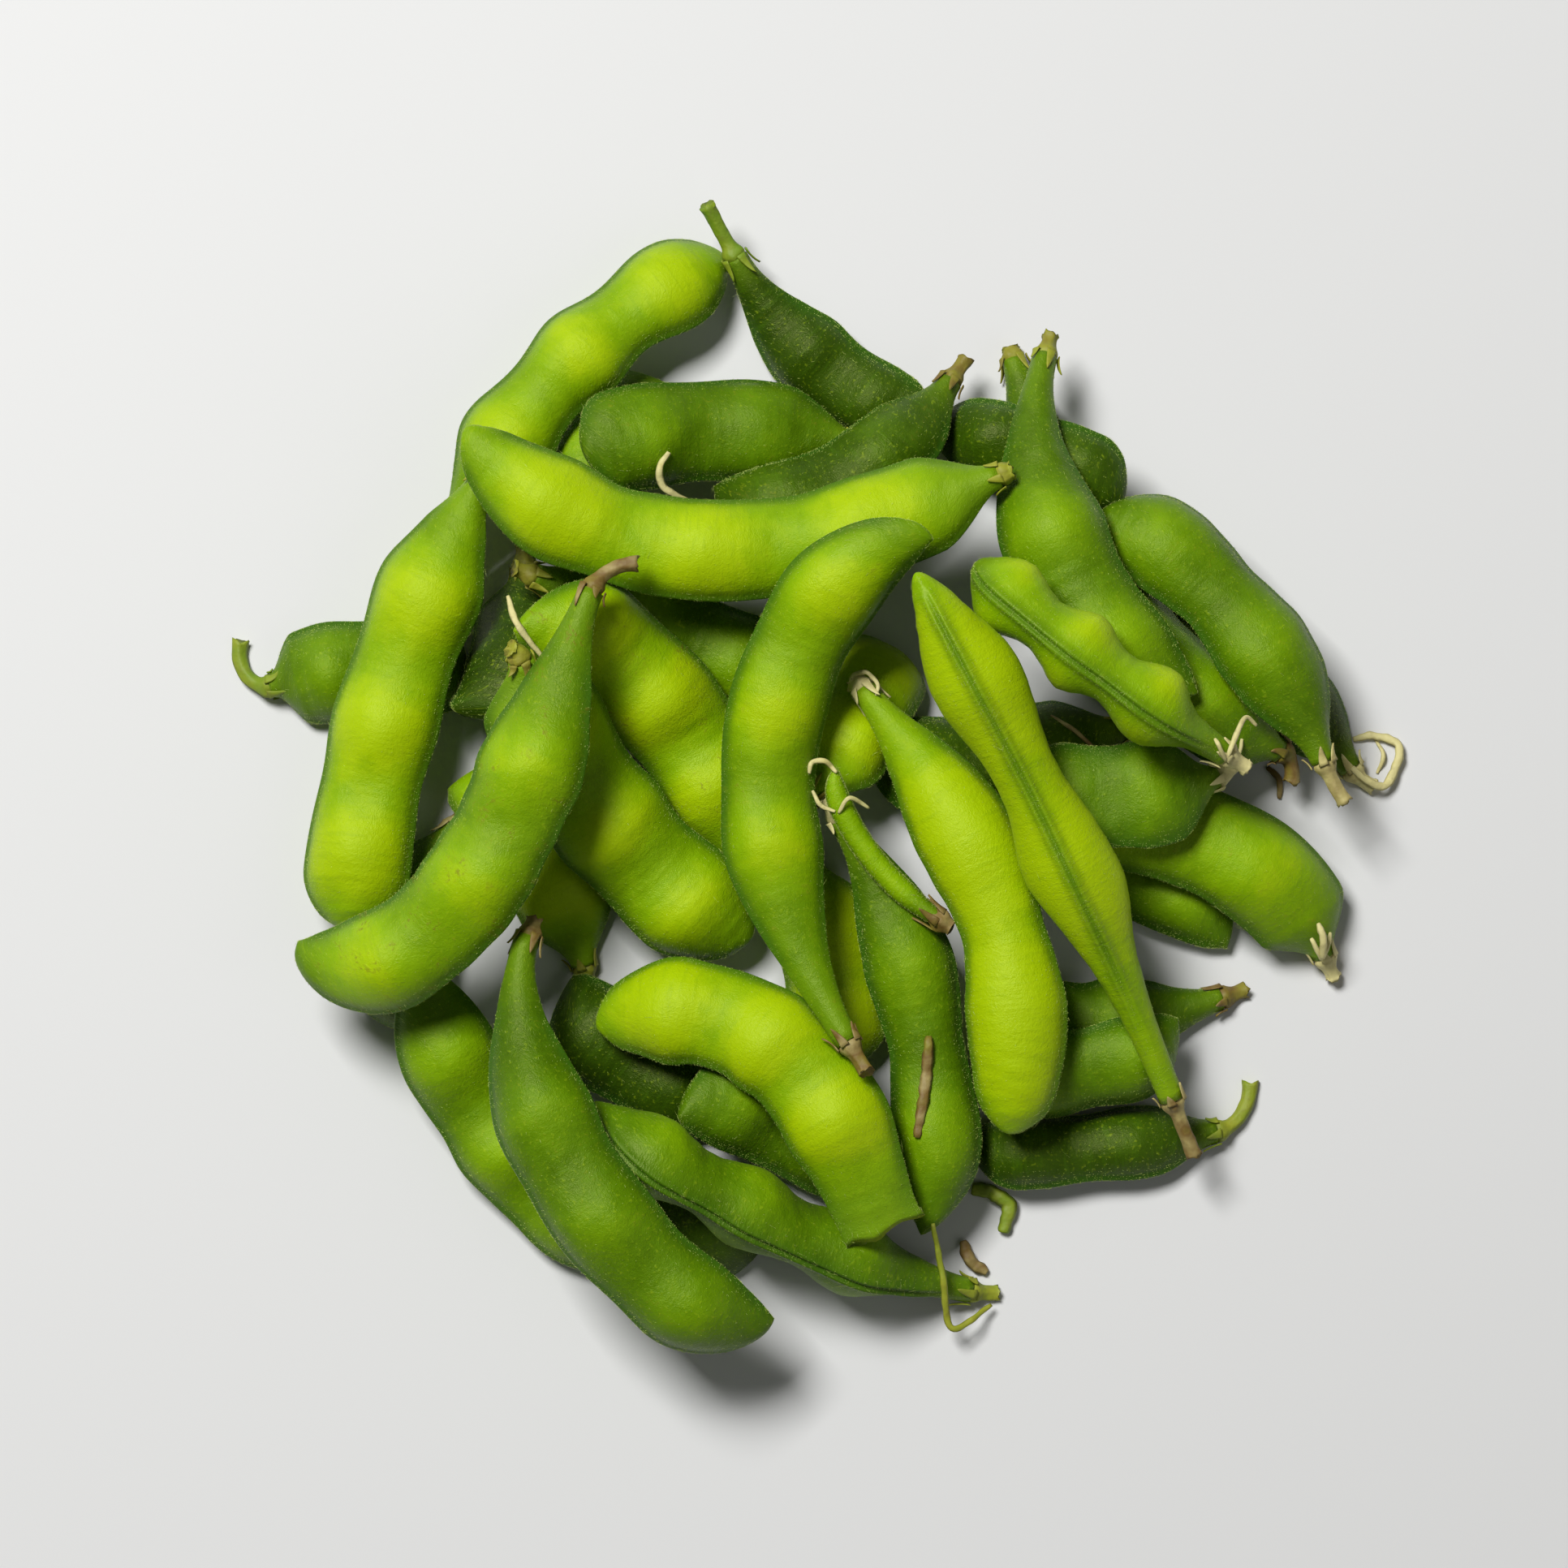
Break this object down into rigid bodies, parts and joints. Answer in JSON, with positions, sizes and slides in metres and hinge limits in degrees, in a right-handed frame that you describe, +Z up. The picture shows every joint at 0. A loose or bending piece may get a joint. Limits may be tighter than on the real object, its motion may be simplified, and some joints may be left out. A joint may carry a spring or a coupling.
{
  "type": "edamame pod bundle",
  "caption": "Heap of loose boiled soybean pods with beaked tips, seams and short stalks, lying on each other on a flat surface.",
  "frame": {"origin": "on the surface that the bundle lies on, below the middle of its box", "axes": "+Z up, +X to the right and +Y to the back, as seen by someone who looks down on the heap from its front"},
  "size_m": [0.1442, 0.1441, 0.0338],
  "materials": {
    "deep_skin": "moist satin skin with fine pale hairs",
    "green_skin": "moist satin skin with fine pale hairs",
    "yellow_skin": "moist satin skin with fine pale hairs"
  },
  "bodies": {
    "root": {"pod_dark_gap": "deep_skin", "pod_right_dark": "deep_skin", "pod_right_low": "green_skin", "pod_stalk_right": "deep_skin", "pod_right_lower": "green_skin", "pod_stalk_left": "green_skin", "pod_brown_end": "deep_skin", "pod_left_gap": "deep_skin", "pod_shaded": "green_skin", "pod_left_pale": "yellow_skin", "pod_back_narrow": "deep_skin", "pod_back_pointed": "deep_skin", "pod_back_pale": "green_skin", "pod_front_left": "green_skin", "pod_fuzzy": "deep_skin", "pod_front_round": "deep_skin", "pod_front_inner": "deep_skin", "pod_right_slim": "green_skin", "pod_under_arch": "yellow_skin", "pod_beside_arch": "yellow_skin", "pod_right_inner": "green_skin", "pod_right_top": "green_skin", "pod_back_left": "yellow_skin", "pod_back_stalk": "deep_skin", "pod_back_middle": "deep_skin", "pod_back_dark": "deep_skin", "pod_far_right": "yellow_skin", "pod_leaf": "green_skin", "pod_back_right": "green_skin", "pod_seam_up": "yellow_skin", "pod_slim": "green_skin", "pod_left": "yellow_skin", "pod_middle_left": "yellow_skin", "pod_middle": "yellow_skin", "pod_front_double": "green_skin", "pod_top_back": "yellow_skin", "pod_torn": "yellow_skin", "pod_front_hooked": "deep_skin", "pod_top_left": "yellow_skin", "pod_thin": "green_skin", "pod_brightest": "yellow_skin", "pod_top_right": "yellow_skin", "pod_top_middle": "yellow_skin"}
  },
  "joints": []
}
